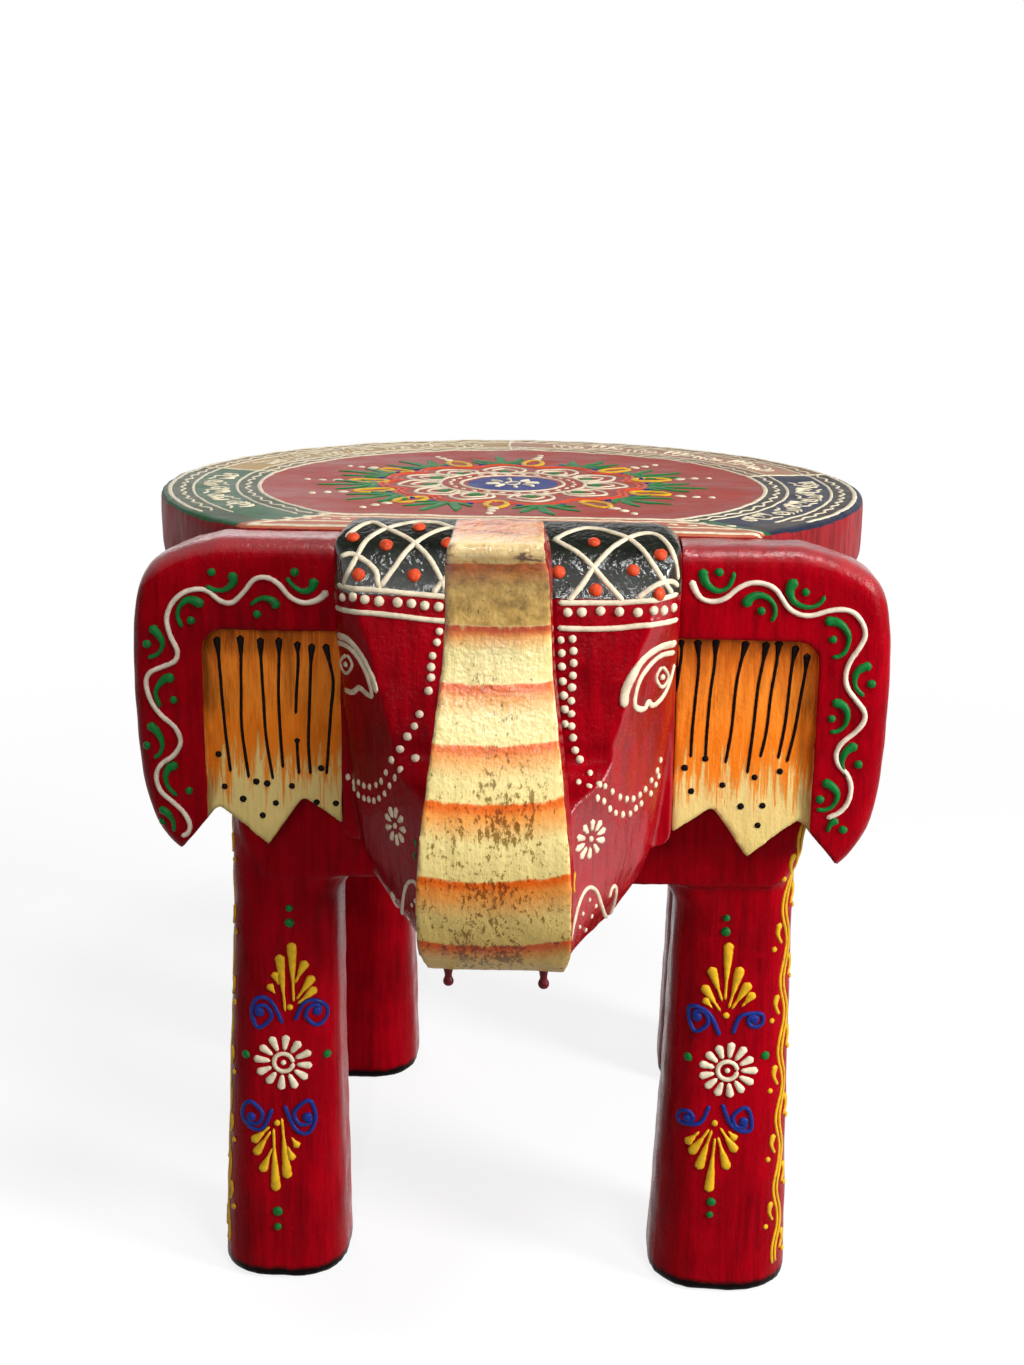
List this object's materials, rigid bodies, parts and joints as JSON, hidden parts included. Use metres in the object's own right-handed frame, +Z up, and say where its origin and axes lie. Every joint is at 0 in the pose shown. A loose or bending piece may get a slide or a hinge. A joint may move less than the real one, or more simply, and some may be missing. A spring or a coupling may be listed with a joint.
{
  "type": "carved elephant stool",
  "caption": "Painted wooden elephant stool: round plank seat with a straight front edge on a carved block body and tapered legs, with flat ears and an upturned sawn plank trunk.",
  "frame": {"origin": "centre of the bounding box at floor level, under the seat and a little ahead of its middle", "axes": "+Z up from the floor to the seat, -Y toward the elephant's face and trunk, +X to the right when facing the elephant's face"},
  "size_m": [0.236, 0.296, 0.265],
  "materials": {
    "crimson_paint": "gloss oil paint over carved wood",
    "seat_paint": "gloss oil paint over a wood plank, with raised painted ornament",
    "trunk_paint": "gloss cream paint with orange bands, worn to brown specks",
    "bare_wood": "unpainted turned dowel wood"
  },
  "bodies": {
    "root": {"seat_top": "seat_paint", "body_block": "crimson_paint", "front_left_leg": "crimson_paint", "front_right_leg": "crimson_paint", "rear_left_leg": "crimson_paint", "rear_right_leg": "crimson_paint", "head_block": "crimson_paint", "left_ear": "crimson_paint", "right_ear": "crimson_paint", "trunk": "trunk_paint", "trunk_drips": "crimson_paint", "seat_dowels": "bare_wood", "head_dowels": "bare_wood", "ear_dowels": "bare_wood", "trunk_dowels": "bare_wood"}
  },
  "joints": []
}
